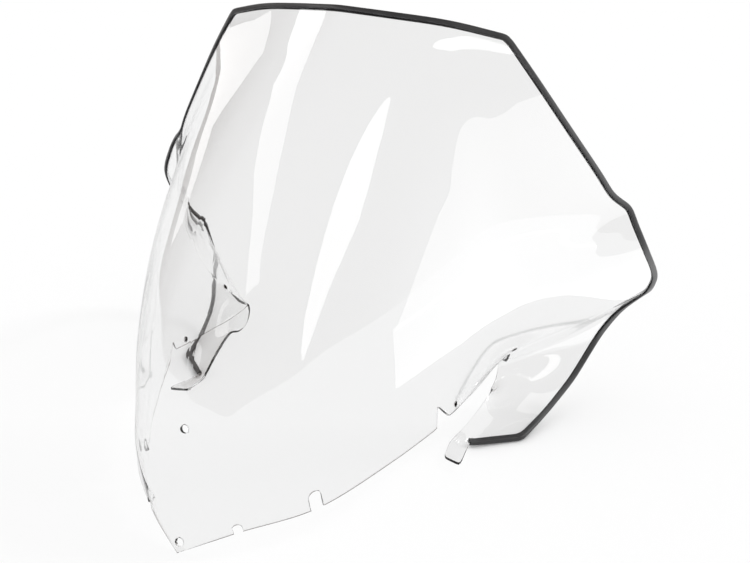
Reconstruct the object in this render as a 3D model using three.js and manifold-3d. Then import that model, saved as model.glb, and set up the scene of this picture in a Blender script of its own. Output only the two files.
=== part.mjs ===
// A clear thermoformed windshield screen: a vee-nosed pane with a side wing folded in under
// each flank, and one length of black U-section trim pushed over its upper and side edges.
// Millimetres. +X is the rider's right, +Y points back, +Z up, and the screen stands on its
// nose and on the bottom edges of its wings.
import * as THREE from 'three';
import ManifoldModule from 'manifold-3d';

const wasm = await ManifoldModule();
wasm.setup();
const { Manifold, Mesh: ManifoldMesh } = wasm;

// ---- driving dimensions -------------------------------------------------------------------
const SHEET = 3; // thickness of the formed sheet
const CLEARANCE = 0.3; // between the faces of the sheet and the lips of its trim
const EDGE_GAP = 0.8; // between the sheet's edge and the bottom of the trim's channel
const TRIM_WALL = 1.3; // wall of the U-section trim
const TRIM_CHAMFER = 0.8; // along the trim's outer edges
const TRIM_GRIP = 4.5; // how far the trim reaches in from the sheet's edge
const CORNER_SOFTENING = 0.3; // how far a corner of the sheet is drawn in towards its neighbours

const COLUMNS = 24; // from the centre line to the side edge
const ROWS = 20; // from the lower edge to the top edge
const HEM_ROWS = 2; // below the fold line, in front of the wing
const WING_ROWS = 10; // from the fold down to the wing's foot
const TAB_ROWS = 2; // along the locating tab
const TAB_PAD_COLUMNS = 2; // of the flange, kept flat around the hole of its front tab

const FLANGE_START = 0.5; // along the fold line, where the lower edge turns into the flange
const WING_START = 0.75; // along the fold line, where the wing begins
const BASE_FADE = 2.2; // how fast the lower edge's shape dies out up the pane
const TOP_FADE = 3; // how fast the top edge's shape dies out down the pane
const NOSE_ROUND = 0.22; // share of each section over which the halves run into each other

// Curves of the right-hand half. Each one is a smooth line through a few stations.
const line = (...stations) => {
  const points = stations.map((station) => new THREE.Vector3(...station));
  return new THREE.CatmullRomCurve3(points, false, 'catmullrom', 0.5);
};

// Profile on the centre line, from just above the nose up to the top edge.
const centre = line([0, 12, 30], [0, 26, 119], [0, 53, 206], [0, 121, 289], [0, 218, 368],
  [0, 331, 445]);
// Shoulder that pulls every cross-section forwards and outwards.
const shoulder = line([101, 21, 46], [120, 56, 176], [112, 156, 314], [82, 327, 445]);
// Side edge, from the outer corner up over the hand flare to the top corner.
const side = line([312, 468, 142], [317, 461, 163], [310, 439, 197], [297, 434, 226],
  [288, 435, 243], [279, 430, 251], [270, 425, 260], [256, 418, 283], [225, 406, 329],
  [193, 395, 376], [161, 387, 420]);
// Top edge, from the centre line to the top corner.
const crown = line([0, 331, 445], [52, 341, 441], [107, 364, 433], [161, 387, 420]);
// Fold line: just above the lower edge at the front, then the crease above flange and wing.
const fold = line([0, 12, 30], [52, 30, 52], [104, 84, 70], [140, 158, 76], [162, 226, 80],
  [176, 300, 74], [184, 378, 75], [244, 433, 97], [312, 468, 142]);
// Lower edge of the pane, from the nose to the cut in front of the flange.
const lowerEdge = line([0, 0, 0], [49, 29, 20], [103, 82, 30], [140, 157, 45], [164, 221, 57]);
// Lower edge of the flange, from its pointed front tab to the relief slit.
const flangeEdge = line([169, 241, 62], [168, 290, 58], [167, 342, 54], [166, 393, 54]);
// Inner edge of the wing: along the slit, round the ear and forwards to the locating tab.
const wingInner = line([184, 378, 75], [176, 388, 58], [166, 395, 53], [166, 389, 33],
  [167, 371, 28], [171, 354, 32], [167, 320, 22], [161, 292, 14], [157, 275, 10]);
// Rear edge of the wing, from the outer corner down to the foot.
const wingOuter = line([312, 468, 142], [297, 474, 126], [281, 471, 109], [265, 463, 83],
  [254, 446, 57], [244, 424, 33], [235, 394, 18], [228, 366, 9], [220, 328, 2.6]);
// Foot of the wing, from its inner edge to its rear corner.
const foot = line([157, 275, 10], [174, 290, 4.5], [198, 310, 3.2], [220, 328, 2.6]);
const FOOT_TRIM_START = 1 / 3; // along the foot, where the trim ends
const TAB_END = [new THREE.Vector3(162, 247, 8), new THREE.Vector3(183, 241, 8)];

// Holes and notches.
const NOSE_HOLE = { diameter: 8, up: 10.5 }; // measured up the centre line from the nose
const CENTRE_HOLE = { diameter: 8, station: 0.2 }; // along the centre profile
const TAB_HOLE = { diameter: 6, along: 0.16, down: 0.77 }; // in the flange's front tab
const CREASE_HOLE = { diameter: 7, along: 0.755, up: 0.02 }; // just above the relief slit
const SMALL_NOTCH = { width: 9, depth: 9, along: 0.25 }; // along the lower edge
const LARGE_NOTCH = { width: 13, depth: 19, along: 0.5 };
const CUT_REACH = 30; // length of every cutting tool
const ROUND_SEGMENTS = 16;

// ---- the middle surface of the sheet --------------------------------------------------------
const bezier = (u, a, b, c) => new THREE.Vector3()
  .addScaledVector(a, (1 - u) ** 2)
  .addScaledVector(b, 2 * u * (1 - u))
  .addScaledVector(c, u ** 2);

// A station that starts level on the centre line, and is u again from NOSE_ROUND on.
const rounded = (u) => {
  const t = u / NOSE_ROUND;
  return t < 1 ? NOSE_ROUND * (3 * t ** 2 - 3 * t ** 3 + t ** 4) : u;
};
// The point at station u of a curve, with its depth and height read at the rounded station.
const acrossNose = (curve, u) => {
  const point = curve(rounded(u));
  point.x = curve(u).x;
  return point;
};

// The pane above the fold line: u runs from the centre line to the side, v from fold to top.
const pane = (u, v) => {
  const sectionAt = (height) => (station) => (
    bezier(station, centre.getPoint(height), shoulder.getPoint(height), side.getPoint(height)));
  const section = (station) => sectionAt(v)(station)
    .addScaledVector(fold.getPoint(station).sub(sectionAt(0)(station)), (1 - v) ** BASE_FADE)
    .addScaledVector(crown.getPoint(station).sub(sectionAt(1)(station)), v ** TOP_FADE);
  return acrossNose(section, u);
};

// A strip ruled from the fold line, between two stations of it, down to an edge curve. Its
// rows crowd towards the fold.
const hem = (from, to, edge) => (s, w) => {
  const start = acrossNose((station) => fold.getPoint(station), from + (to - from) * s);
  return start.lerp(edge.getPoint(s), w ** 2);
};

const frontHem = hem(0, FLANGE_START, lowerEdge);
const flange = hem(FLANGE_START, WING_START, flangeEdge);

// The wing: ruled from its inner to its rear edge, and bent to meet the fold and the foot.
const wing = (s, w) => {
  const ruled = wingInner.getPoint(w).lerp(wingOuter.getPoint(w), s);
  const atFold = fold.getPoint(WING_START + (1 - WING_START) * s)
    .sub(wingInner.getPoint(0).lerp(wingOuter.getPoint(0), s));
  const atFoot = foot.getPoint(s).sub(wingInner.getPoint(1).lerp(wingOuter.getPoint(1), s));
  return ruled.addScaledVector(atFold, (1 - w) ** 2).addScaledVector(atFoot, w ** 2);
};

// The locating tab that runs on forwards from the inner end of the foot.
const tab = (s, w) => {
  const start = foot.getPoint(s * FOOT_TRIM_START);
  return start.lerp(TAB_END[0].clone().lerp(TAB_END[1], s), w);
};

const mirrorPoint = (point, mirror) => new THREE.Vector3(mirror * point.x, point.y, point.z);

// A net of points on a surface, by column and row.
const net = (surface, columns, rows) => Array.from({ length: columns + 1 }, (_, i) => (
  Array.from({ length: rows + 1 }, (__, j) => surface(i / columns, j / rows))));

// A point one grip in from an edge point, on the way to the next point of the net.
const borderPoint = (edge, next, before, after) => {
  const inwards = next.clone().sub(edge).normalize();
  const slant = Math.sin(inwards.angleTo(after.clone().sub(before)));
  return edge.clone().addScaledVector(inwards, TRIM_GRIP / slant);
};
const along = (list, i) => [list[Math.max(i - 1, 0)], list[Math.min(i + 1, list.length - 1)]];

// An even border strip, as wide as the trim's grip, inside the last column and the last row.
const borderColumn = (points) => {
  const edge = points.at(-1);
  const inner = edge.map((point, j) => borderPoint(point, points.at(-2)[j], ...along(edge, j)));
  return [...points.slice(0, -1), inner, edge];
};
const borderRow = (points) => {
  const edge = points.map((column) => column.at(-1));
  return points.map((column, i) => [
    ...column.slice(0, -1),
    borderPoint(edge[i], column.at(-2), ...along(edge, i)),
    edge[i],
  ]);
};

// Points and triangles of the middle surface, with shared points merged as they are added.
class Skin {
  constructor() {
    this.points = [];
    this.triangles = [];
    this.lookup = new Map();
    this.flatNormals = new Map();
  }

  index(point) {
    const key = point.toArray().map((value) => Math.round(value * 100)).join();
    if (!this.lookup.has(key)) {
      this.lookup.set(key, this.points.length);
      this.points.push(point.clone());
    }
    return this.lookup.get(key);
  }

  // Adds a net of points as quads. Nets that run down from the fold are wound the other way.
  addNet(net, down) {
    for (const mirror of [1, -1]) {
      const at = (i, j) => this.index(mirrorPoint(net[i][j], mirror));
      for (let i = 0; i < net.length - 1; i += 1) {
        for (let j = 0; j < net[i].length - 1; j += 1) {
          const [a, b, c, d] = [at(i, j), at(i + 1, j), at(i + 1, j + 1), at(i, j + 1)];
          const turned = down !== (mirror < 0);
          this.triangles.push(turned ? [a, c, b] : [a, b, c], turned ? [a, d, c] : [a, c, d]);
        }
      }
    }
  }

  // Directed edges that belong to one triangle only.
  rim() {
    const edges = new Map();
    for (const [a, b, c] of this.triangles) {
      for (const [from, to] of [[a, b], [b, c], [c, a]]) edges.set(`${from},${to}`, [from, to]);
    }
    return [...edges.values()].filter(([from, to]) => !edges.has(`${to},${from}`));
  }

  // True if two points are joined by an edge of a triangle.
  joined(a, b) {
    return this.triangles.some((triangle) => triangle.includes(a) && triangle.includes(b));
  }

  neighbours() {
    const near = this.points.map(() => new Set());
    for (const triangle of this.triangles) {
      for (const a of triangle) for (const b of triangle) if (a !== b) near[a].add(b);
    }
    return near;
  }

  // Rounds the fold: points that pass the test drift towards the middle of their neighbours.
  relax(passes, held, test) {
    const fixed = new Set([...this.rim().flat(), ...held]);
    const near = this.neighbours();
    for (let pass = 0; pass < passes; pass += 1) {
      const before = this.points.map((point) => point.clone());
      this.points.forEach((point, i) => {
        if (fixed.has(i) || !test(before[i])) return;
        const middle = new THREE.Vector3();
        near[i].forEach((j) => middle.add(before[j]));
        point.lerp(middle.divideScalar(near[i].size), 0.5);
      });
    }
  }

  // Moves a point onto the XY plane of a frame, and keeps the sheet flat there.
  flatten(index, frame) {
    const normal = new THREE.Vector3().setFromMatrixColumn(frame, 2);
    const origin = new THREE.Vector3().setFromMatrixPosition(frame);
    const height = this.points[index].clone().sub(origin).dot(normal);
    this.points[index].addScaledVector(normal, -height);
    this.flatNormals.set(index, normal);
  }

  normals() {
    const result = this.points.map(() => new THREE.Vector3());
    for (const [a, b, c] of this.triangles) {
      const ab = this.points[b].clone().sub(this.points[a]);
      const normal = ab.cross(this.points[c].clone().sub(this.points[a]));
      for (const i of [a, b, c]) result[i].add(normal);
    }
    return result.map((normal, i) => this.flatNormals.get(i) ?? normal.normalize());
  }

  // A closed solid of the given thickness about the middle surface.
  thicken(thickness) {
    const normals = this.normals();
    const count = this.points.length;
    const positions = [];
    for (const shift of [thickness / 2, -thickness / 2]) {
      this.points.forEach((point, i) => {
        positions.push(...point.clone().addScaledVector(normals[i], shift).toArray());
      });
    }
    const index = this.triangles.flatMap(([a, b, c]) => [
      a, b, c, a + count, c + count, b + count]);
    for (const [a, b] of this.rim()) index.push(b, a, a + count, b, a + count, b + count);
    return solidGeometry(positions, index);
  }
}

function solidGeometry(positions, index) {
  const geometry = new THREE.BufferGeometry();
  geometry.setAttribute('position', new THREE.Float32BufferAttribute(positions, 3));
  geometry.setIndex(index);
  return geometry;
}

const skin = new Skin();
const frontColumns = COLUMNS * FLANGE_START;
const flangeColumns = COLUMNS * (WING_START - FLANGE_START);
const wingColumns = COLUMNS * (1 - WING_START);
const paneNet = borderRow(borderColumn(net(pane, COLUMNS, ROWS)));
const wingNet = borderRow(borderColumn(net(wing, wingColumns, WING_ROWS)));
wingNet.at(-2)[0].copy(paneNet.at(-2)[0]); // the two strips meet on the fold
skin.addNet(paneNet, false);
skin.addNet(net(frontHem, frontColumns, HEM_ROWS), true);
skin.addNet(net(flange, flangeColumns, HEM_ROWS), true);
skin.addNet(wingNet, true);
skin.addNet(net(tab, wingColumns * FOOT_TRIM_START, TAB_ROWS), true);

// The trimmed edge of one side, from the foot round the wing and the flank to the centre line.
// Each station pairs a point on the edge with the border point inside it.
const halfEdge = (mirror) => {
  const station = (edge, inner) => ({
    edge: skin.index(mirrorPoint(edge, mirror)),
    inner: skin.index(mirrorPoint(inner, mirror)),
  });
  const footStart = wingColumns * FOOT_TRIM_START;
  const inFoot = wingNet.slice(footStart, -1).map((column) => station(column.at(-1), column.at(-2)));
  const upWing = wingNet.at(-1).map((point, j, edge) => (
    station(point, wingNet.at(-2)[Math.min(j, edge.length - 2)]))).reverse();
  const upSide = paneNet.at(-1).slice(1).map((point, j, edge) => (
    station(point, paneNet.at(-2)[Math.min(j + 1, edge.length - 1)])));
  const overTop = paneNet.slice(0, -1).map((column) => station(column.at(-1), column.at(-2)));
  return [...inFoot, ...upWing, ...upSide, ...overTop.reverse()];
};
const trimmedEdge = [...halfEdge(-1).slice(0, -1), ...halfEdge(1).reverse()];

const RELAX_PASSES = 8;
const FOLD_ZONE = { inner: 120, behind: 200, top: 150 };
skin.relax(RELAX_PASSES, trimmedEdge.map(({ inner }) => inner), (point) => (
  Math.abs(point.x) > FOLD_ZONE.inner && point.y > FOLD_ZONE.behind && point.z < FOLD_ZONE.top));

// Local frame of a surface: origin at (a, b), Z on its normal, Y up the surface.
const STEP = 0.01;
const frameOn = (surface, a, b) => {
  const origin = surface(a, b);
  const across = surface(a + STEP, b).sub(surface(a - STEP, b)).normalize();
  const up = surface(a, b - STEP).sub(surface(a, b + STEP)).normalize();
  const normal = across.clone().cross(up).normalize();
  const matrix = new THREE.Matrix4().makeBasis(across, normal.clone().cross(across), normal);
  return matrix.setPosition(origin);
};

const mirrored = (matrix) => {
  const e = matrix.clone().premultiply(new THREE.Matrix4().makeScale(-1, 1, 1));
  return e.multiply(new THREE.Matrix4().makeScale(-1, 1, 1));
};

// The flange is flat around the hole of its front tab, so that a washer can bear on it.
const tabPad = frameOn(flange, TAB_HOLE.along, TAB_HOLE.down);
for (const mirror of [false, true]) {
  for (let i = 0; i <= TAB_PAD_COLUMNS; i += 1) {
    for (let j = 1; j <= HEM_ROWS; j += 1) {
      const point = flange(i / flangeColumns, j / HEM_ROWS);
      if (mirror) point.x *= -1;
      skin.flatten(skin.index(point), mirror ? mirrored(tabPad) : tabPad);
    }
  }
}

// The corners are drawn in a little, so that neither the sheet nor the trim comes to a point.
const SHARP_TURN = 0.5; // radians
const corners = trimmedEdge.slice(1, -1).flatMap(({ edge: index }, i) => {
  const before = skin.points[trimmedEdge[i].edge];
  const here = skin.points[index];
  const after = skin.points[trimmedEdge[i + 2].edge];
  const turn = here.clone().sub(before).angleTo(after.clone().sub(here));
  if (turn < SHARP_TURN) return [];
  return [{ index, target: before.clone().add(after).multiplyScalar(0.5) }];
});
corners.forEach(({ index, target }) => skin.points[index].lerp(target, CORNER_SOFTENING));

// ---- boolean cuts ----------------------------------------------------------------------------
const toManifold = (geometry) => new Manifold(new ManifoldMesh({
  numProp: 3,
  vertProperties: new Float32Array(geometry.attributes.position.array),
  triVerts: new Uint32Array(geometry.index.array),
}));

const fromManifold = (solid) => {
  const mesh = solid.getMesh();
  return solidGeometry(Array.from(mesh.vertProperties), Array.from(mesh.triVerts));
};

// A closed prism along local Z, stood at a point with its Z on the sheet's normal.
const cutter = (outline, place) => {
  const count = outline.length;
  const positions = [-CUT_REACH / 2, CUT_REACH / 2].flatMap((z) => (
    outline.flatMap(([x, y]) => [x, y, z])));
  const index = [];
  for (let i = 0; i < count; i += 1) {
    const next = (i + 1) % count;
    index.push(i, next, count + next, i, count + next, count + i);
    if (i > 0 && i < count - 1) index.push(0, i + 1, i, count, count + i, count + i + 1);
  }
  return toManifold(solidGeometry(positions, index).applyMatrix4(place));
};

const arc = (radius, from, to, segments, y = 0) => {
  const steps = Array.from({ length: segments + 1 }, (_, i) => from + (to - from) * (i / segments));
  return steps.map((angle) => [radius * Math.cos(angle), y + radius * Math.sin(angle)]);
};
const roundOutline = (diameter) => arc(diameter / 2, 0, 2 * Math.PI, ROUND_SEGMENTS).slice(1);
// A slot open at the bottom, with a round top end.
const notchOutline = ({ width, depth }) => [
  [-width / 2, -depth],
  [width / 2, -depth],
  ...arc(width / 2, 0, Math.PI, ROUND_SEGMENTS / 2, depth - width / 2),
];

const centreFrame = (low, high, up) => {
  const tangent = high.clone().sub(low).normalize();
  const across = new THREE.Vector3(1, 0, 0);
  return new THREE.Matrix4().makeBasis(across, tangent, across.clone().cross(tangent))
    .setPosition(low.clone().addScaledVector(tangent, up));
};
const holeStation = centre.getPoint(CENTRE_HOLE.station);
const holeTangent = centre.getTangent(CENTRE_HOLE.station);
const pairs = [
  [notchOutline(SMALL_NOTCH), frameOn(frontHem, SMALL_NOTCH.along, 1)],
  [notchOutline(LARGE_NOTCH), frameOn(frontHem, LARGE_NOTCH.along, 1)],
  [roundOutline(TAB_HOLE.diameter), tabPad],
  [roundOutline(CREASE_HOLE.diameter), frameOn(pane, CREASE_HOLE.along, CREASE_HOLE.up)],
];
const cutters = [
  cutter(roundOutline(NOSE_HOLE.diameter),
    centreFrame(lowerEdge.getPoint(0), centre.getPoint(0), NOSE_HOLE.up)),
  cutter(roundOutline(CENTRE_HOLE.diameter),
    centreFrame(holeStation, holeStation.clone().add(holeTangent), 0)),
  ...pairs.flatMap(([outline, place]) => [
    cutter(outline, place),
    cutter(outline, mirrored(place)),
  ]),
];
const paneSolid = Manifold.difference([toManifold(skin.thicken(SHEET)), ...cutters]);

// ---- the trim ----------------------------------------------------------------------------------
const channel = SHEET / 2 + CLEARANCE;
const lip = channel + TRIM_WALL;
const back = EDGE_GAP + TRIM_WALL;
// Cross-section. Each corner is [0 on the sheet's edge or 1 at the full grip, distance outwards
// past the sheet's edge, distance along the sheet's normal].
const halfSection = [[1, 0, channel], [1, 0, lip], [0, 0, lip], [0, back - TRIM_CHAMFER, lip],
  [0, back, lip - TRIM_CHAMFER]];
const trimSection = [
  ...halfSection,
  ...halfSection.map(([grip, out, up]) => [grip, out, -up]).reverse(),
  [0, 0, -channel], [0, EDGE_GAP, -channel], [0, EDGE_GAP, channel], [0, 0, channel],
];
// The section's end face is a strip of triangles between its outer and its inner corners.
const OUTER_CORNERS = [1, 2, 3, 4, 5, 6, 7, 8];
const INNER_CORNERS = [0, 13, 12, 12, 11, 11, 10, 9];

const sweepTrim = () => {
  const normals = skin.normals();
  const last = trimmedEdge.length - 1;
  const body = new Skin();
  const rings = trimmedEdge.map(({ edge, inner }, i) => {
    const here = skin.points[edge];
    const before = skin.points[trimmedEdge[Math.max(i - 1, 0)].edge];
    const after = skin.points[trimmedEdge[Math.min(i + 1, last)].edge];
    const arriving = here.clone().sub(before).normalize();
    const leaving = after.clone().sub(here).normalize();
    const outwards = normals[edge].clone().cross(arriving.clone().add(leaving)).normalize();
    const mitre = i > 0 && i < last ? 1 / Math.cos(arriving.angleTo(leaving) / 2) : 1;
    return trimSection.map(([grip, out, up]) => {
      const carrier = grip ? inner : edge;
      return body.index(skin.points[carrier].clone()
        .addScaledVector(outwards, out * mitre)
        .addScaledVector(normals[carrier], up));
    });
  });
  // At a corner of the sheet several rings share their inner points, so some faces vanish.
  const addFaces = (...faces) => {
    body.triangles.push(...faces.filter((face) => new Set(face).size === face.length));
  };
  for (let i = 0; i < last; i += 1) {
    // The lips' quads are split along the same diagonals as the sheet between them.
    const innerFirst = skin.joined(trimmedEdge[i].inner, trimmedEdge[i + 1].edge);
    trimSection.forEach(([grip], k) => {
      const next = (k + 1) % trimSection.length;
      const nextGrip = trimSection[next][0];
      const [a, b, c, d] = [rings[i][k], rings[i][next], rings[i + 1][next], rings[i + 1][k]];
      if (grip !== nextGrip && innerFirst !== (grip === 1)) {
        addFaces([a, d, b], [b, d, c]);
      } else {
        addFaces([a, c, b], [a, d, c]);
      }
    });
  }
  for (let k = 1; k < OUTER_CORNERS.length; k += 1) {
    const corners = [OUTER_CORNERS[k - 1], OUTER_CORNERS[k], INNER_CORNERS[k - 1], INNER_CORNERS[k]];
    const [a, b, c, d] = corners.map((corner) => rings[0][corner]);
    const [e, f, g, h] = corners.map((corner) => rings[last][corner]);
    addFaces([a, b, c], [c, b, d], [e, g, f], [g, h, f]);
  }
  return solidGeometry(body.points.flatMap((point) => point.toArray()), body.triangles.flat());
};

// ---- assembly ------------------------------------------------------------------------------------
const clearSheet = new THREE.MeshStandardMaterial({
  color: 0xe9ebec, roughness: 0.06, metalness: 0, transparent: true, opacity: 0.35,
});
const blackRubber = new THREE.MeshStandardMaterial({ color: 0x1b1c1d, roughness: 0.55, metalness: 0 });

const group = new THREE.Group();
group.name = 'windshield_screen';
const addPart = (name, geometry, material) => {
  const mesh = new THREE.Mesh(geometry, material);
  mesh.name = name;
  group.add(mesh);
};
addPart('screen_pane', fromManifold(paneSolid), clearSheet);
addPart('edge_trim', sweepTrim(), blackRubber);

// The origin is the middle of the bottom of the bounding box.
const box = new THREE.Box3().setFromObject(group);
const middle = box.getCenter(new THREE.Vector3());
group.children.forEach((mesh) => mesh.geometry.translate(-middle.x, -middle.y, -box.min.z));

export default group;
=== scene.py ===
import math

import bpy
import numpy as np
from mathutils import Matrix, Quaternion, Vector
from mathutils.bvhtree import BVHTree
from mathutils.kdtree import KDTree


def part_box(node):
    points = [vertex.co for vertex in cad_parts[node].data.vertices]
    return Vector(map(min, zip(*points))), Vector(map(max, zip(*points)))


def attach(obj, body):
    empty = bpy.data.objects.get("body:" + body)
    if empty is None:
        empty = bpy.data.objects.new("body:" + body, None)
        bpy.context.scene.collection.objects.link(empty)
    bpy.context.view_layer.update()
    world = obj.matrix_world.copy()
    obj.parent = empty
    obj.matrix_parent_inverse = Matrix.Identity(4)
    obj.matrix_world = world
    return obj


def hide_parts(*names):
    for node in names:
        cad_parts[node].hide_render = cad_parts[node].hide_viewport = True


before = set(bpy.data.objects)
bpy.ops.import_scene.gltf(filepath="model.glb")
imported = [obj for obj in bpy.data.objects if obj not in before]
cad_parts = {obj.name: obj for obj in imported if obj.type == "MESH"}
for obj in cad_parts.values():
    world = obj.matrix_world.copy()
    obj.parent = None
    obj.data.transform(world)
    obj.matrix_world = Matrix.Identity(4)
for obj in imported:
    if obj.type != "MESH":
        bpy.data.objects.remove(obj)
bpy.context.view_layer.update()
MM = 0.001

# ---- dimensions --------------------------------------------------------------------------------
SHEET = 3 * MM
SHEET_BEVEL = 0.4 * MM
CORNER_ROUNDING = 3.5 * MM  # reach of the smoothing that rounds the corners of the trimmed edge
FLANGE_START = 0.5  # along the fold line, where the lower edge turns into the flange
WING_START = 0.75  # along the fold line, where the wing begins
BASE_FADE = 2.2  # how fast the lower edge's shape dies out up the pane
TOP_FADE = 3  # how fast the top edge's shape dies out down the pane
NOSE_ROUND = 0.22  # share of each section over which the two halves run smoothly into each other
FOOT_TRIM_START = 1 / 3  # along the foot, where the trim ends

# Cells of the sheet's nets: columns from the nose to the rear, and rows away from the fold line.
FRONT_COLUMNS, FLANGE_COLUMNS, WING_COLUMNS = 54, 30, 24
PANE_ROWS, HEM_ROWS, FLANGE_ROWS, WING_ROWS, TAB_ROWS = 76, 24, 14, 48, 9
TAB_COLUMNS = round(WING_COLUMNS * FOOT_TRIM_START)
FOCUS_LINES = 9  # closer lines across each hole and notch

TRIM_GRIP = 4.5 * MM
TRIM_CLEARANCE = 0.3 * MM
TRIM_EDGE_GAP = 0.8 * MM
TRIM_WALL = 1.3 * MM
TRIM_SPACING = 2.5 * MM

NOSE_HOLE = dict(diameter=8 * MM, up=10.5 * MM)
CENTRE_HOLE = dict(diameter=8 * MM, station=0.2)
TAB_HOLE = dict(diameter=6 * MM, along=0.16, down=0.77)
CREASE_HOLE = dict(diameter=7 * MM, along=0.755, up=0.02)
SMALL_NOTCH = dict(width=9 * MM, depth=9 * MM, along=0.25)
LARGE_NOTCH = dict(width=13 * MM, depth=19 * MM, along=0.5)


# ---- curves and surfaces of the right-hand half ------------------------------------------------
def line(*stations):
    """A smooth Catmull-Rom line through a few stations in millimetres, from t = 0 to 1."""
    points = np.array(stations, float) * MM
    padded = np.vstack([2 * points[0] - points[1], points, 2 * points[-1] - points[-2]])

    def at(t):
        t = np.clip(np.asarray(t, float), 0, 1) * (len(points) - 1)
        k = np.minimum(t.astype(int), len(points) - 2)
        f = (t - k)[..., None]
        a, b, c, d = (padded[k + i] for i in range(4))
        cubic = 3 * b - 3 * c + d - a
        return 0.5 * (2 * b + (c - a) * f + (2 * a - 5 * b + 4 * c - d) * f ** 2 + cubic * f ** 3)

    return at


def softened(curve, reach=0.04):
    """The same line with its bends spread a little, and with the same ends."""
    shifts = np.linspace(-2, 2, 9) * reach
    weights = np.exp(-0.5 * (shifts / reach) ** 2)
    weights /= weights.sum()

    def at(t):
        total = 0
        for shift, weight in zip(shifts, weights):
            moved = np.asarray(t, float) + shift
            below, above = moved[..., None] < 0, moved[..., None] > 1
            point = np.where(below, 2 * curve(0) - curve(-moved), curve(moved))
            total = total + weight * np.where(above, 2 * curve(1) - curve(2 - moved), point)
        return total

    return at


centre = softened(line([0, 12, 30], [0, 26, 119], [0, 53, 206], [0, 121, 289], [0, 218, 368],
                       [0, 331, 445]))
shoulder = softened(line([101, 21, 46], [120, 56, 176], [112, 156, 314], [82, 327, 445]))
side = line([312, 468, 142], [317, 461, 163], [310, 439, 197], [297, 434, 226],
            [288, 435, 243], [279, 430, 251], [270, 425, 260], [256, 418, 283],
            [225, 406, 329], [193, 395, 376], [161, 387, 420])
crown = line([0, 331, 445], [52, 341, 441], [107, 364, 433], [161, 387, 420])
fold = line([0, 12, 30], [52, 30, 52], [104, 84, 70], [140, 158, 76], [162, 226, 80],
            [176, 300, 74], [184, 378, 75], [244, 433, 97], [312, 468, 142])
lower_edge = line([0, 0, 0], [49, 29, 20], [103, 82, 30], [140, 157, 45], [164, 221, 57])
flange_edge = line([169, 241, 62], [168, 290, 58], [167, 342, 54], [166, 393, 54])
wing_inner = line([184, 378, 75], [176, 388, 58], [166, 395, 53], [166, 389, 33],
                  [167, 371, 28], [171, 354, 32], [167, 320, 22], [161, 292, 14], [157, 275, 10])
wing_outer = line([312, 468, 142], [297, 474, 126], [281, 471, 109], [265, 463, 83],
                  [254, 446, 57], [244, 424, 33], [235, 394, 18], [228, 366, 9], [220, 328, 2.6])
foot = line([157, 275, 10], [174, 290, 4.5], [198, 310, 3.2], [220, 328, 2.6])
tab_end = line([162, 247, 8], [183, 241, 8])


def mix(a, b, share):
    return a + (b - a) * np.asarray(share)[..., None]


def bezier(u, a, b, c):
    u = np.asarray(u)[..., None]
    return (1 - u) ** 2 * a + 2 * u * (1 - u) * b + u ** 2 * c


def halved_pane(u, v):
    section = bezier(u, centre(v), shoulder(v), side(v))
    low = bezier(u, centre(0), shoulder(0), side(0))
    high = bezier(u, centre(1), shoulder(1), side(1))
    base = np.asarray((1 - v) ** BASE_FADE)[..., None]
    top = np.asarray(v ** TOP_FADE)[..., None]
    return section + (fold(u) - low) * base + (crown(u) - high) * top


def rounded(u):
    """A station that starts level on the centre line, and is u again from NOSE_ROUND on."""
    t = np.minimum(np.asarray(u, float) / NOSE_ROUND, 1)
    return np.where(t < 1, NOSE_ROUND * (3 * t ** 2 - 3 * t ** 3 + t ** 4), u)


def across_nose(surface, u, v):
    """A surface's own width, with its depth and height read at the rounded station."""
    return np.concatenate([surface(u, v)[..., :1], surface(rounded(u), v)[..., 1:]], -1)


def pane(u, v):
    return across_nose(halved_pane, u, v)


def front_hem(s, w):
    start = across_nose(lambda u, v: fold(u) + 0 * v[..., None], FLANGE_START * s, w)
    return mix(start, lower_edge(s), w ** 2)


def flange(s, w):
    return mix(fold(FLANGE_START + (WING_START - FLANGE_START) * s), flange_edge(s), w ** 2)


def wing(s, w):
    ruled = mix(wing_inner(w), wing_outer(w), s)
    at_fold = fold(WING_START + (1 - WING_START) * s) - mix(wing_inner(0), wing_outer(0), s)
    at_foot = foot(s) - mix(wing_inner(1), wing_outer(1), s)
    return ruled + at_fold * np.asarray((1 - w) ** 2)[..., None] + at_foot * np.asarray(
        w ** 2)[..., None]


def tab(s, w):
    return mix(foot(s * FOOT_TRIM_START), tab_end(s), w)


# ---- the middle surface of the sheet -----------------------------------------------------------
def stations(low, high, count, *focus):
    """Even stations from low to high, and closer ones around each (middle, reach) in focus."""
    even = np.linspace(low, high, count + 1)
    for middle, reach in focus:
        start, end = max(middle - reach, low), min(middle + reach, high)
        outside = (even <= low) | (even >= high) | (even < start - reach / 8) | (
            even > end + reach / 8)
        even = np.union1d(even[outside], np.linspace(start, end, FOCUS_LINES))
    return even


# Holes and notches as (middle, reach) along the fold line or, for the pane's, up the pane.
NOSE_HOLE_STATION = (0, 0.009)
FRONT_NOTCHES = [(FLANGE_START * SMALL_NOTCH["along"], 0.01),
                 (FLANGE_START * LARGE_NOTCH["along"], 0.014)]
FLANGE_HOLES = [(FLANGE_START + (WING_START - FLANGE_START) * TAB_HOLE["along"], 0.008),
                (CREASE_HOLE["along"], 0.008)]
PANE_HOLES = [(CREASE_HOLE["up"], 0.012), (CENTRE_HOLE["station"], 0.012)]

wing_u = stations(WING_START, 1, WING_COLUMNS)
hem_w = np.sqrt(np.linspace(0, 1, HEM_ROWS + 1))
flange_w = np.sqrt(np.linspace(0, 1, FLANGE_ROWS + 1))
wing_w = np.linspace(0, 1, WING_ROWS + 1)
tab_w = np.linspace(0, 1, TAB_ROWS + 1)


def share(u, low, high):
    return (u - low) / (high - low)


def grid(surface, across, up):
    return surface(across[:, None] + 0 * up, up + 0 * across[:, None])


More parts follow.
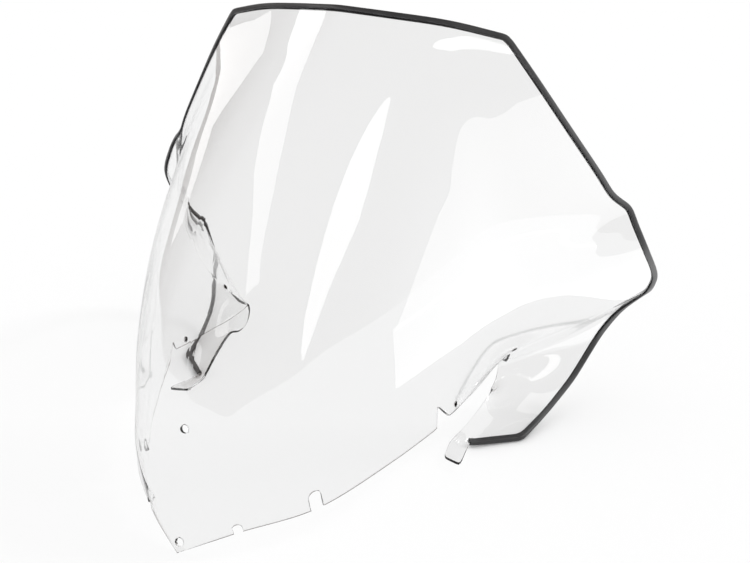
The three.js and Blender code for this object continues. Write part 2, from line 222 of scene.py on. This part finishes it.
def sheet_nets(front_u, flange_u, pane_v):
    """The nets of a half: surface, stations across and up, and whether it runs down."""
    pane_u = np.union1d(np.union1d(front_u, flange_u), wing_u)
    return {
        "tab": (tab, np.linspace(0, 1, TAB_COLUMNS + 1), tab_w, True),
        "wing": (wing, share(wing_u, WING_START, 1), wing_w, True),
        "flange": (flange, share(flange_u, FLANGE_START, WING_START), flange_w, True),
        "front_hem": (front_hem, share(front_u, 0, FLANGE_START), hem_w, True),
        "pane": (pane, pane_u, pane_v, False),
    }


def joined(nets):
    """Both halves as quads of shared points, and the numbers of each net's points."""
    cloud, corners, net_index, start = [], [], {}, 0
    for mirror in (1, -1):
        for name, (surface, across, up, down) in nets.items():
            net = grid(surface, across, up) * [mirror, 1, 1]
            index = start + np.arange(net[..., 0].size).reshape(net.shape[:2])
            start += index.size
            cloud.append(net.reshape(-1, 3))
            net_index[name, mirror] = index
            quads = np.stack([index[:-1, :-1], index[1:, :-1], index[1:, 1:], index[:-1, 1:]], -1)
            turned = down != (mirror < 0)  # a net that runs down from the fold is wound back
            corners.append(quads.reshape(-1, 4)[:, ::-1] if turned else quads.reshape(-1, 4))
    cloud = np.vstack(cloud)
    _, first, merged = np.unique(np.round(cloud / (0.01 * MM)).astype(int), axis=0,
                                 return_index=True, return_inverse=True)
    merged = merged.reshape(-1)
    return cloud[first], merged[np.vstack(corners)], {
        key: merged[index] for key, index in net_index.items()}


# The folds are eased on even nets, without the closer lines at holes and notches.
front_u = stations(0, FLANGE_START, FRONT_COLUMNS)
flange_u = stations(FLANGE_START, WING_START, FLANGE_COLUMNS)
pane_v = stations(0, 1, PANE_ROWS)
even_nets = sheet_nets(front_u, flange_u, pane_v)
points, quads, net_index = joined(even_nets)
sharp_points = points.copy()


def rim_edges(quads):
    """Directed edges that belong to one face only, each with its face to the left."""
    edges = all_edges(quads)
    edges = edges[edges[:, 0] != edges[:, 1]]
    known = set(map(tuple, edges))
    return np.array([edge for edge in map(tuple, edges) if edge[::-1] not in known])


def all_edges(quads):
    return np.vstack([np.stack([quads[:, i], quads[:, (i + 1) % 4]], 1) for i in range(4)])


def relax(points, edges, passes, moving, ease=1.0):
    """Drifts the moving points towards their neighbours along the edges, the near ones most.

    Each point's ease, from 0 to 1, scales its steps.
    """
    edges = np.vstack([edges, edges[:, ::-1]])
    points = points.copy()
    for _ in range(passes):
        length = np.linalg.norm(points[edges[:, 0]] - points[edges[:, 1]], axis=1)
        weight = 1 / np.maximum(length, 0.2 * MM)
        total = np.zeros(len(points))
        middle = np.zeros_like(points)
        np.add.at(total, edges[:, 0], weight)
        np.add.at(middle, edges[:, 0], points[edges[:, 1]] * weight[:, None])
        middle /= np.maximum(total, 1e-9)[:, None]
        points[moving] += ((middle - points) * 0.5 * np.asarray(ease)[..., None])[moving]
    return points


def normals_of(points, quads):
    cross = np.cross(points[quads[:, 2]] - points[quads[:, 0]],
                     points[quads[:, 3]] - points[quads[:, 1]])
    total = np.zeros_like(points)
    for i in range(4):
        np.add.at(total, quads[:, i], cross)
    return total / np.maximum(np.linalg.norm(total, axis=1), 1e-12)[:, None]


def trimmed_edge(net_index):
    """The edge from the left foot over the top to the right foot."""
    halves = []
    for mirror in (-1, 1):
        wing_net, pane_net = net_index["wing", mirror], net_index["pane", mirror]
        halves.append(np.concatenate([wing_net[TAB_COLUMNS:, -1], wing_net[-1, ::-1],
                                      pane_net[-1], pane_net[::-1, -1]]))
    path = np.concatenate([halves[0], halves[1][::-1]])
    return path[np.concatenate([[True], path[1:] != path[:-1]])]


def arc_length(path):
    return np.concatenate([[0], np.cumsum(np.linalg.norm(np.diff(path, axis=0), axis=1))])


def resample(path, distance, at):
    return np.stack([np.interp(at, distance, path[:, i]) for i in range(path.shape[1])], 1)


def smooth_path(path, reach, ends):
    """Rounds a line's corners with a bell of that reach, less and less towards its ends."""
    distance = arc_length(path)
    step = 1 * MM
    even = np.arange(0, distance[-1], step)
    samples = resample(path, distance, even)
    radius = int(3 * reach / step)
    bell = np.exp(-0.5 * (np.arange(-radius, radius + 1) * step / reach) ** 2)
    bell /= bell.sum()
    padded = np.vstack([2 * samples[0] - samples[radius:0:-1], samples,
                        2 * samples[-1] - samples[-2:-radius - 2:-1]])
    smooth = np.stack([np.convolve(padded[:, i], bell, "valid") for i in range(path.shape[1])], 1)
    fade = np.clip(np.minimum(distance, distance[-1] - distance) / ends, 0, 1)
    return mix(path, resample(smooth, even, distance), fade)


trimmed = trimmed_edge(net_index)
points[trimmed] = smooth_path(points[trimmed], CORNER_ROUNDING, 3 * CORNER_ROUNDING)

# The corners of the free edges are eased too. The formed sheet has no hard lines: it is eased
# a little along its front fold, and most along the folds of the wings.
FRONT_ROWS = 0.07  # how far up the pane the front fold is eased
RIM_PASSES, EASE_PASSES, FOLD_PASSES, ROLL_PASSES, WING_PASSES = 3, 12, 40, 60, 150
rim = rim_edges(quads)
free_rim = np.zeros(len(points), bool)
free_rim[rim.ravel()] = True
free_rim[trimmed] = False
free_rim[np.abs(points[:, 0]) < 0.01 * MM] = False  # the nose keeps its tip
points = relax(points, rim, RIM_PASSES, free_rim)
inside = np.ones(len(points), bool)
inside[rim.ravel()] = False
along_front = np.zeros(len(points), bool)
for mirror in (1, -1):
    along_front[net_index["front_hem", mirror].ravel()] = True
    along_front[net_index["pane", mirror][:len(front_u), pane_v < FRONT_ROWS].ravel()] = True
points = relax(points, all_edges(quads), EASE_PASSES, inside & along_front)


# Near the trimmed edge the folds stay crisp, and the easing fades in from its region's border.
CRISP, LEAST_EASE = 30 * MM, 0.03
REGION_FADE = 45 * MM
border = KDTree(len(trimmed))
for number, point in enumerate(points[trimmed]):
    border.insert(Vector(point), number)
border.balance()
ease = np.clip([border.find(Vector(point))[2] / CRISP for point in points], LEAST_EASE, 1)


def near_fold(reach, behind, below):
    """How far a point is in the region past these limits: 0 at its border, 1 well inside."""
    depths = np.stack([np.abs(points[:, 0]) - reach, points[:, 1] - behind, below - points[:, 2]])
    share = np.clip(depths / REGION_FADE, 0, 1)
    return (share ** 2 * (3 - 2 * share)).prod(0)


points = relax(points, all_edges(quads), FOLD_PASSES, inside,
               ease * near_fold(reach=100 * MM, behind=180 * MM, below=165 * MM))
points = relax(points, all_edges(quads), ROLL_PASSES, inside,
               ease * near_fold(reach=70 * MM, behind=50 * MM, below=130 * MM))
on_wing = np.zeros(len(points), bool)
for mirror in (1, -1):
    on_wing[net_index["wing", mirror][:, 1:].ravel()] = True
points = relax(points, all_edges(quads), WING_PASSES, inside & on_wing, ease)


def read_between(values, old, new):
    """Values at new stations of the first axis, on smooth curves through the old ones."""
    slopes = np.gradient(values, old, axis=0)
    k = np.clip(np.searchsorted(old, new, "right") - 1, 0, len(old) - 2)
    gap = (old[k + 1] - old[k])[:, None, None]
    f = (new - old[k])[:, None, None] / gap
    start = values[k] * (1 + 2 * f) + slopes[k] * gap * f
    end = values[k + 1] * (3 - 2 * f) - slopes[k + 1] * gap * (1 - f)
    return start * (1 - f) ** 2 + end * f ** 2


# The same easing is carried over to nets with closer lines at the holes and notches.
eased, eased_index = points - sharp_points, net_index
fine_nets = sheet_nets(
    stations(0, FLANGE_START, FRONT_COLUMNS, NOSE_HOLE_STATION, *FRONT_NOTCHES),
    stations(FLANGE_START, WING_START, FLANGE_COLUMNS, *FLANGE_HOLES),
    stations(0, 1, PANE_ROWS, *PANE_HOLES))
points, quads, net_index = joined(fine_nets)
sharp_points = points.copy()
for (name, mirror), index in net_index.items():
    (_, across, up, _), (_, fine_across, fine_up, _) = even_nets[name], fine_nets[name]
    moved = read_between(eased[eased_index[name, mirror]], across, fine_across)
    moved = read_between(moved.transpose(1, 0, 2), up, fine_up).transpose(1, 0, 2)
    points[index] = sharp_points[index] + moved
trimmed = trimmed_edge(net_index)


# ---- holes and notches -------------------------------------------------------------------------
def frame_on(surface, a, b, mirror=1, step=0.01):
    """Origin, across, up and normal of a surface at a place, on either half."""
    a, b = np.array(a), np.array(b)
    flip = np.array([mirror, 1, 1])
    origin = surface(a, b) * flip
    across = (surface(a + step, b) - surface(a - step, b)) * flip
    across /= np.linalg.norm(across)
    up = (surface(a, b - step) - surface(a, b + step)) * flip
    normal = np.cross(across, up)
    normal /= np.linalg.norm(normal)
    return origin, across, np.cross(normal, across), normal


HOLE_PASSES = 4  # of easing around each hole
NEARBY = 4  # radii; what lies further along the hole's axis belongs to another part of the sheet


def punch(points, quads, place, radius, depth=None):
    """Cuts a round hole, or a slot from the edge up to a round end at that depth."""
    origin, across, up, normal = place
    top = 0 if depth is None else depth - radius
    bottom = 0 if depth is None else -4 * radius

    def locate(which):
        local = (which - origin) @ np.stack([across, up, normal], 1)
        axis = np.zeros_like(local)
        axis[:, 1] = np.clip(local[:, 1], bottom, top)
        away = local - axis
        away[:, 2] = 0
        return local, axis, away, np.linalg.norm(away, axis=1)

    local, _, _, distance = locate(points[quads].mean(1))
    gone = (distance < radius) & (np.abs(local[:, 2]) < NEARBY * radius)
    shared = np.intersect1d(quads[gone], quads[~gone])
    quads = quads[~gone]
    local, axis, away, distance = locate(points[shared])
    away *= (radius / np.maximum(distance, 1e-9))[:, None]
    snapped = axis + away
    snapped[:, 2] = local[:, 2]
    points = points.copy()
    points[shared] = origin + snapped @ np.stack([across, up, normal])
    local, _, _, distance = locate(points)
    around = (distance < 2.2 * radius) & (np.abs(local[:, 2]) < NEARBY * radius)
    around[rim_edges(quads).ravel()] = False
    return relax(points, all_edges(quads), HOLE_PASSES, around), quads


tangent = centre(0.001) - lower_edge(0.0)
tangent /= np.linalg.norm(tangent)
ACROSS = np.array([1.0, 0, 0])
nose_frame = (lower_edge(0.0) + tangent * NOSE_HOLE["up"], ACROSS, tangent,
              np.cross(ACROSS, tangent))
points, quads = punch(points, quads, nose_frame, NOSE_HOLE["diameter"] / 2)
rise = centre(CENTRE_HOLE["station"] + 0.01) - centre(CENTRE_HOLE["station"] - 0.01)
rise /= np.linalg.norm(rise)
centre_frame = (centre(CENTRE_HOLE["station"]), ACROSS, rise, np.cross(ACROSS, rise))
points, quads = punch(points, quads, centre_frame, CENTRE_HOLE["diameter"] / 2)
for mirror in (1, -1):
    for hole, surface, down in ((TAB_HOLE, flange, "down"), (CREASE_HOLE, pane, "up")):
        place = frame_on(surface, hole["along"], hole[down], mirror)
        points, quads = punch(points, quads, place, hole["diameter"] / 2)
    for notch in (SMALL_NOTCH, LARGE_NOTCH):
        place = frame_on(front_hem, notch["along"], 1.0 - 0.01, mirror)
        points, quads = punch(points, quads, place, notch["width"] / 2, notch["depth"])


# ---- meshes ------------------------------------------------------------------------------------
def make_object(name, points, faces, sharp):
    """A smooth object of the points in use, with edges sharp from that angle in degrees."""
    used = np.unique(np.concatenate([np.asarray(face) for face in faces]))
    renumber = np.zeros(len(points), int)
    renumber[used] = np.arange(len(used))
    mesh = bpy.data.meshes.new(name)
    mesh.from_pydata(points[used].tolist(), [], [renumber[list(face)].tolist() for face in faces])
    mesh.validate()
    mesh.update()
    mesh.shade_smooth()
    mesh.set_sharp_from_angle(angle=math.radians(sharp))
    obj = bpy.data.objects.new(name, mesh)
    bpy.context.scene.collection.objects.link(obj)
    return obj


def outward_directions(points, normals, rim):
    """At each rim point, the direction in the sheet's plane that leaves the sheet."""
    total = np.zeros_like(points)
    direction = points[rim[:, 1]] - points[rim[:, 0]]
    direction /= np.maximum(np.linalg.norm(direction, axis=1), 1e-12)[:, None]
    for i in (0, 1):
        np.add.at(total, rim[:, i], np.cross(direction, normals[rim[:, i]]))
    return total / np.maximum(np.linalg.norm(total, axis=1), 1e-12)[:, None]


def thicken(points, quads):
    """A closed solid about the middle surface, with a small bevel along its edges."""
    normals = normals_of(points, quads)
    rim = rim_edges(quads)
    outward = outward_directions(points, normals, rim)
    inset = outward * SHEET_BEVEL
    half = SHEET / 2
    layers = [points - inset + normals * half, points + normals * (half - SHEET_BEVEL),
              points - normals * (half - SHEET_BEVEL), points - inset - normals * half]
    count = len(points)
    faces = [tuple(quad) for quad in quads] + [tuple(quad[::-1] + 3 * count) for quad in quads]
    for a, b in rim:
        for k in range(3):
            upper, lower = k * count, (k + 1) * count
            faces.append((b + upper, a + upper, a + lower, b + lower))
    return np.vstack(layers), [tuple(dict.fromkeys(face)) for face in faces]


sheet_points, sheet_faces = thicken(points, quads)
pane_low = sheet_points[np.unique(np.concatenate([np.array(f) for f in sheet_faces]))].min(0)
cad_low = np.array(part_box("screen_pane")[0])
to_part = np.array([0, cad_low[1] - pane_low[1], cad_low[2] - pane_low[2]])
screen = make_object("clear_screen", sheet_points + to_part, sheet_faces, sharp=35)

# ---- the trim ----------------------------------------------------------------------------------
channel = SHEET / 2 + TRIM_CLEARANCE
lip = channel + TRIM_WALL
back = TRIM_EDGE_GAP + TRIM_WALL
LIP_ROUND = 0.6 * MM
BACK_STEPS = 10
SQUARENESS = 0.8  # of the round back: 1 is an ellipse, and less is squarer
EASED = 6 * MM  # reach of the smoothing of the trim's directions, where the sheet's edge twists


def trim_section():
    """Corners as (share of the grip inwards, distance outwards, distance along the normal)."""
    outer = [(1, 0, channel + LIP_ROUND / 2), (0.95, 0, lip - LIP_ROUND / 4), (0.85, 0, lip),
             (0.45, 0, lip + 0.1 * MM)]
    for i in range(BACK_STEPS + 1):
        angle = math.pi / 2 * (1 - 2 * i / BACK_STEPS)
        outer.append((0, back * max(math.cos(angle), 0) ** SQUARENESS,
                      lip * math.copysign(abs(math.sin(angle)) ** SQUARENESS, angle)))
    lower = [(grip, out, -up) for grip, out, up in outer[:4]]
    return outer + lower[::-1] + [(1, 0, -channel), (0, TRIM_EDGE_GAP, -channel),
                                  (0, TRIM_EDGE_GAP, channel), (1, 0, channel)]


def sweep_trim(points, quads):
    normals = normals_of(points, quads)
    surface = BVHTree.FromPolygons([Vector(p) for p in points], [tuple(q) for q in quads])
    outward = outward_directions(points, normals, rim_edges(quads))
    distance = arc_length(points[trimmed])
    even = np.linspace(0, distance[-1], int(distance[-1] / TRIM_SPACING))
    path = resample(points[trimmed], distance, even)

    def even_directions(values):
        values = smooth_path(np.hstack([points[trimmed], values[trimmed]]), EASED, EASED)[:, 3:]
        values = resample(values, distance, even)
        return values / np.linalg.norm(values, axis=1)[:, None]

    normal, out = even_directions(normals), even_directions(outward)
    out -= normal * (out * normal).sum(1)[:, None]
    inner, inner_normal = [], []
    for here, away, up in zip(path, out, normal):
        spot, face_normal, _, _ = surface.find_nearest(Vector(here - away * TRIM_GRIP))
        inner.append(spot)
        inner_normal.append(face_normal if Vector(up).dot(face_normal) > 0 else -face_normal)
    lips = smooth_path(np.hstack([np.array(inner), np.array(inner_normal)]), EASED, EASED)
    inner, inner_normal = lips[:, :3], lips[:, 3:]
    inner_normal /= np.linalg.norm(inner_normal, axis=1)[:, None]
    section = trim_section()
    rings = []
    for grip, away, up in section:
        base = path + (inner - path) * grip
        direction = normal + (inner_normal - normal) * grip
        rings.append(base + out * away + direction * up)
    rings = np.stack(rings, 1)
    count = len(section)
    faces = []
    for i in range(len(path) - 1):
        for k in range(count):
            n = (k + 1) % count
            faces.append((i * count + k, (i + 1) * count + k, (i + 1) * count + n, i * count + n))
    last = (len(path) - 1) * count
    faces += [tuple(range(count)), tuple(last + k for k in reversed(range(count)))]
    return rings.reshape(-1, 3), faces


trim_points, trim_faces = sweep_trim(points, quads)
trim = make_object("rubber_trim", trim_points + to_part, trim_faces, sharp=50)


# ---- materials ---------------------------------------------------------------------------------
def new_material(name):
    material = bpy.data.materials.new(name)
    material.use_nodes = True
    nodes = material.node_tree.nodes
    return material, nodes, material.node_tree.links, nodes["Principled BSDF"]


def noise(nodes, links, coordinates, scale, detail, roughness=0.5):
    node = nodes.new("ShaderNodeTexNoise")
    node.inputs["Scale"].default_value = scale
    node.inputs["Detail"].default_value = detail
    node.inputs["Roughness"].default_value = roughness
    links.new(coordinates, node.inputs["Vector"])
    return node.outputs["Fac"]


def ranged(nodes, links, value, low, high):
    node = nodes.new("ShaderNodeMapRange")
    node.inputs["To Min"].default_value = low
    node.inputs["To Max"].default_value = high
    links.new(value, node.inputs["Value"])
    return node.outputs["Result"]


def clear_sheet_material():
    material, nodes, links, shader = new_material("clear_sheet")
    coordinates = nodes.new("ShaderNodeTexCoord").outputs["Object"]
    shader.inputs["Base Color"].default_value = (0.985, 0.986, 0.986, 1)
    shader.inputs["Transmission Weight"].default_value = 1
    shader.inputs["IOR"].default_value = 1.49
    dust = noise(nodes, links, coordinates, 9, 4)
    links.new(ranged(nodes, links, dust, -0.02, 0.02), shader.inputs["Roughness"])
    bump = nodes.new("ShaderNodeBump")
    bump.inputs["Strength"].default_value = 0.25
    bump.inputs["Distance"].default_value = 0.4 * MM
    links.new(noise(nodes, links, coordinates, 14, 1), bump.inputs["Height"])
    links.new(bump.outputs["Normal"], shader.inputs["Normal"])
    passing = nodes.new("ShaderNodeBsdfTransparent")
    passing.inputs["Color"].default_value = (0.92, 0.92, 0.92, 1)
    mixer = nodes.new("ShaderNodeMixShader")
    links.new(nodes.new("ShaderNodeLightPath").outputs["Is Shadow Ray"], mixer.inputs["Fac"])
    links.new(shader.outputs["BSDF"], mixer.inputs[1])
    links.new(passing.outputs["BSDF"], mixer.inputs[2])
    links.new(mixer.outputs["Shader"], nodes["Material Output"].inputs["Surface"])
    return material


def rubber_material():
    material, nodes, links, shader = new_material("black_trim")
    coordinates = nodes.new("ShaderNodeTexCoord").outputs["Object"]
    shade = nodes.new("ShaderNodeValToRGB")
    shade.color_ramp.elements[0].color = (0.012, 0.012, 0.013, 1)
    shade.color_ramp.elements[1].color = (0.035, 0.035, 0.037, 1)
    links.new(noise(nodes, links, coordinates, 60, 5, 0.6), shade.inputs["Fac"])
    links.new(shade.outputs["Color"], shader.inputs["Base Color"])
    links.new(ranged(nodes, links, noise(nodes, links, coordinates, 220, 3), 0.32, 0.46),
              shader.inputs["Roughness"])
    bump = nodes.new("ShaderNodeBump")
    bump.inputs["Strength"].default_value = 0.15
    bump.inputs["Distance"].default_value = 0.05 * MM
    links.new(noise(nodes, links, coordinates, 1800, 2), bump.inputs["Height"])
    links.new(bump.outputs["Normal"], shader.inputs["Normal"])
    return material


screen.data.materials.append(clear_sheet_material())
screen.visible_diffuse = False  # the studio's even light reaches the floor through the clear sheet
trim.data.materials.append(rubber_material())
for piece, node, slot in ((screen, "screen_pane", "clear_sheet"),
                          (trim, "edge_trim", "black_trim")):
    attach(piece, "root")
    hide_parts(node)

# ---- studio ------------------------------------------------------------------------------------
scene = bpy.context.scene
scene.view_settings.view_transform = "Standard"
scene.cycles.max_bounces = 20
scene.cycles.transmission_bounces = 20
scene.cycles.transparent_max_bounces = 16

world = bpy.data.worlds.new("studio")
scene.world = world
world.use_nodes = True
background = world.node_tree.nodes["Background"]
background.inputs["Strength"].default_value = 0.98
# The studio lights the scene evenly, and the sheet reflects dim walls with a bright back corner.
DIM_WALLS, BACK_CORNER = (0.23, 0.2, 0.185, 1), (0.9, 0.9, 0.9, 1)


def world_node(kind, **values):
    node = world.node_tree.nodes.new(kind)
    for name, value in values.items():
        setattr(node, name, value)
    return node


def mixed_colors(share, first, second):
    mixer = world_node("ShaderNodeMix", data_type="RGBA")
    world.node_tree.links.new(share, mixer.inputs["Factor"])
    for name, value in (("A", first), ("B", second)):
        if isinstance(value, tuple):
            mixer.inputs[name].default_value = value
        else:
            world.node_tree.links.new(value, mixer.inputs[name])
    return mixer.outputs["Result"]


towards = world_node("ShaderNodeVectorMath", operation="DOT_PRODUCT")
world.node_tree.links.new(world_node("ShaderNodeTexCoord").outputs["Generated"], towards.inputs[0])
towards.inputs[1].default_value = (0.5, 0.85, 0)
corner = world_node("ShaderNodeMapRange", interpolation_type="SMOOTHSTEP")
corner.inputs["From Min"].default_value = 0.3
corner.inputs["From Max"].default_value = 0.8
world.node_tree.links.new(towards.outputs["Value"], corner.inputs["Value"])
walls = mixed_colors(corner.outputs["Result"], DIM_WALLS, BACK_CORNER)
reflected = world_node("ShaderNodeLightPath").outputs["Is Glossy Ray"]
world.node_tree.links.new(mixed_colors(reflected, (1, 1, 1, 1), walls), background.inputs["Color"])


def plane(name, low, high):
    mesh = bpy.data.meshes.new(name)
    mesh.from_pydata([(low[0], low[1], 0), (high[0], low[1], 0), (high[0], high[1], 0),
                      (low[0], high[1], 0)], [], [(0, 1, 2, 3)])
    obj = bpy.data.objects.new(name, mesh)
    scene.collection.objects.link(obj)
    return obj


floor = plane("floor", (-6, -1.6), (6, 9))
floor_material, floor_nodes, floor_links, floor_shader = new_material("white_floor")
# Painted shade: the floor is a darker copy of itself, 0.828 against 0.9 for camera rays, where it
# is seen through the sheet and in reflections.
direct = floor_nodes.new("ShaderNodeLightPath").outputs["Is Camera Ray"]
shade = floor_nodes.new("ShaderNodeMix")
shade.data_type = "RGBA"
shade.inputs["A"].default_value = (0.828, 0.828, 0.828, 1)  # behind the sheet and in reflections
shade.inputs["B"].default_value = (0.9, 0.9, 0.9, 1)
floor_links.new(direct, shade.inputs["Factor"])
floor_links.new(shade.outputs["Result"], floor_shader.inputs["Base Color"])
floor_shader.inputs["Roughness"].default_value = 0.9
floor_shader.inputs["Specular IOR Level"].default_value = 0
floor.data.materials.append(floor_material)


def lamp(name, place, facing, width, height, radiance, roll=0, shape="RECTANGLE"):
    """A flat lamp that faces a direction, with its height upright before the roll."""
    light = bpy.data.lights.new(name, "AREA")
    light.shape = shape
    light.size, light.size_y = width, height
    light.energy = radiance * math.pi * width * height
    obj = bpy.data.objects.new(name, light)
    scene.collection.objects.link(obj)
    obj.location = place
    turn = Vector(facing).to_track_quat("-Z", "Y")
    turn.rotate(Quaternion(Vector(facing), math.radians(roll)))
    obj.rotation_euler = turn.to_euler()
    obj.visible_camera = False
    return obj


def softbox(*settings, **options):
    """A lamp that only shows as a bright shape in glossy surfaces."""
    obj = lamp(*settings, **options)
    obj.visible_diffuse = False
    obj.visible_transmission = False


LEFT, RIGHT, DOWN, UP = (-1, 0, 0), (1, 0, 0), (0, 0, -1), (0, 0, 1)
softbox("strip_right", (1, -0.3, 1.4), LEFT, 0.26, 2.5, 3.0, roll=14, shape="ELLIPSE")
softbox("screen_right", (1, 0.807, 0.645), LEFT, 1.4, 1.7, 1.9, roll=9)
softbox("reflector_right", (0.72, 0.365, 0.006), UP, 0.76, 0.76, 1.9)
softbox("strip_overhead", (-0.5, -0.42, 1.8), DOWN, 0.4, 3.2, 2.6, roll=-45)
softbox("patch_left", (-1.2, 0.76, 0.66), RIGHT, 0.35, 0.6, 1.4)
softbox("strip_left", (-1.2, 0.38, 0.43), RIGHT, 0.5, 0.14, 1.4)
key = bpy.data.lights.new("soft_key", "SUN")
key.energy = 0.6
key.angle = math.radians(14)
soft_key = bpy.data.objects.new("soft_key", key)
scene.collection.objects.link(soft_key)
soft_key.rotation_euler = Vector((-1, -0.9, -1.3)).to_track_quat("-Z", "Y").to_euler()
soft_key.visible_glossy = False

# ---- camera ------------------------------------------------------------------------------------
AZIMUTH, ELEVATION = math.radians(26.18), math.radians(23.77)
DISTANCE = 1.2
AIM = Vector((0.0597, 0.055, 0.1711))
view = Vector((math.sin(AZIMUTH) * math.cos(ELEVATION), -math.cos(AZIMUTH) * math.cos(ELEVATION),
               math.sin(ELEVATION)))
camera_data = bpy.data.cameras.new("camera")
camera_data.lens = 54.6
camera_data.clip_end = 50
camera = bpy.data.objects.new("camera", camera_data)
scene.collection.objects.link(camera)
camera.location = AIM + view * DISTANCE
camera.rotation_euler = (math.pi / 2 - ELEVATION, 0, AZIMUTH)
scene.camera = camera

bpy.context.view_layer.update()
